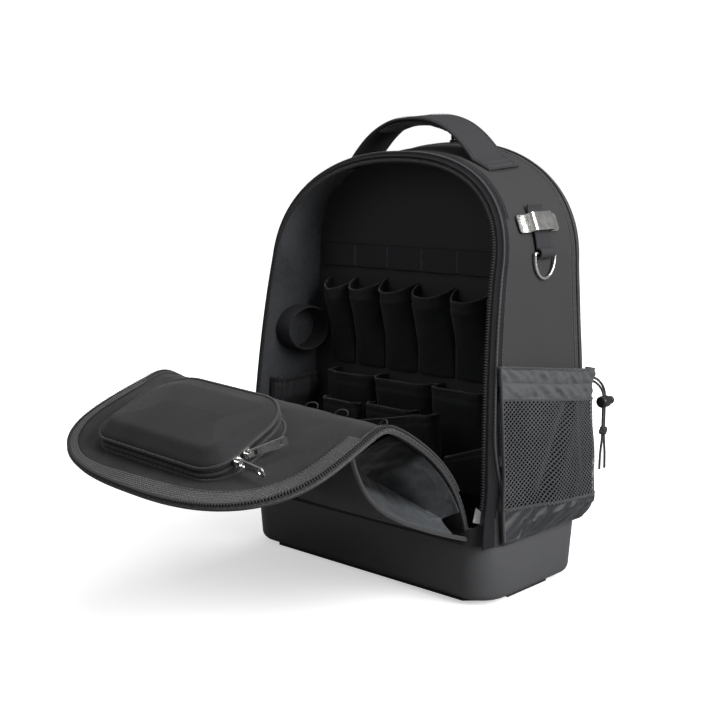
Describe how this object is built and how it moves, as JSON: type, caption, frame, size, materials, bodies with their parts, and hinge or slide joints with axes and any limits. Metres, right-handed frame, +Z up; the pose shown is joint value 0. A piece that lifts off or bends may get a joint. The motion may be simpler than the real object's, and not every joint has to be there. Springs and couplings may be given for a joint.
{
  "type": "tool backpack",
  "caption": "Soft tool backpack on a moulded tub, opened to show inner tool pockets, with its padded front cover and moulded case folded out, top handle and net side pocket.",
  "frame": {"origin": "middle of the foot plate's flat underside", "axes": "+Z up, the front opening faces -Y, the net pocket is on the +X side"},
  "size_m": [0.3608, 0.5198, 0.4775],
  "materials": {
    "rubber": "matt moulded rubber",
    "moulded": "fine-textured, slightly glossy",
    "zip_teeth": "coiled teeth on woven tape",
    "foam": "padded cloth over foam",
    "lining": "smooth lining cloth",
    "webbing": "ribbed webbing",
    "cord": "braided cord",
    "nylon": "thin shiny nylon and net",
    "lock": "moulded, satin",
    "steel": "bright plated",
    "label": "woven white label",
    "canvas": "coarse woven nylon"
  },
  "bodies": {
    "bag": {"foot_plate": "rubber", "moulded_tub": "moulded", "body_shell": "canvas", "front_zip": "zip_teeth", "rear_zip": "zip_teeth", "rear_shell": "canvas", "back_panel": "foam", "back_pad": "foam", "divider_panel": "lining", "hem_strip": "canvas", "cover_panel": "canvas", "cover_zip": "zip_teeth", "pouch_panel": "canvas", "pouch_gusset_right": "nylon", "pouch_gusset_left": "nylon", "under_pocket": "canvas", "case_tray": "foam", "case_zip": "zip_teeth", "case_lid": "foam", "handle_strap": "webbing", "handle_grip": "webbing", "tape_clip": "steel", "ring_tape": "webbing", "net_band": "nylon", "net_panel": "nylon", "net_hem": "nylon", "drawcord_strand_1": "cord", "drawcord_strand_2": "cord", "cord_lock": "lock", "cord_knot": "cord", "tool_sleeve_1": "lining", "tool_sleeve_2": "lining", "tool_sleeve_3": "lining", "tool_sleeve_4": "lining", "tool_sleeve_5": "lining", "tool_sleeve_6": "lining", "middle_pocket_1": "lining", "middle_pocket_2": "lining", "middle_pocket_3": "lining", "low_pocket_1": "lining", "low_pocket_2": "lining", "large_pocket": "lining", "side_pocket": "lining", "webbing_strip": "webbing", "wall_loop": "webbing", "gathered_pocket": "lining", "white_label": "label", "shoulder_strap_right": "foam", "strap_webbing_right": "webbing", "shoulder_strap_left": "foam", "strap_webbing_left": "webbing", "case_zip_1_slider": "steel", "case_zip_2_slider": "steel", "rear_zip_slider": "steel"},
    "case_pull_1": {"case_zip_1_pull": "steel"},
    "case_pull_2": {"case_zip_2_pull": "steel"},
    "rear_pull": {"rear_zip_pull": "steel"},
    "hanging_ring": {"d_ring": "steel"},
    "lock_button": {"cord_lock_button": "lock"}
  },
  "joints": [
    {"name": "case_pull_1_swing", "type": "hinge", "parent": "bag", "child": "case_pull_1", "pos_m": [0.08479, -0.32085, 0.17866], "axis": [-0.0393, 0.3494, -0.9361], "range_deg": [-50, 40]},
    {"name": "case_pull_2_swing", "type": "hinge", "parent": "bag", "child": "case_pull_2", "pos_m": [0.08485, -0.30973, 0.18379], "axis": [-0.0393, 0.3494, -0.9361], "range_deg": [-30, 25]},
    {"name": "rear_pull_swing", "type": "hinge", "parent": "bag", "child": "rear_pull", "pos_m": [0, 0.07147, 0.45314], "axis": [0, -0.9951, -0.0986], "range_deg": [0, 150]},
    {"name": "hanging_ring_swing", "type": "hinge", "parent": "bag", "child": "hanging_ring", "pos_m": [0.15978, 0.0145, 0.34], "axis": [0, 1, 0], "range_deg": [-90, 0]},
    {"name": "lock_button_press", "type": "slide", "parent": "bag", "child": "lock_button", "axis": [0, -1, 0], "range_m": [0, 0.0025], "stiffness_N_per_m": 150, "springref_m": -0.002}
  ]
}
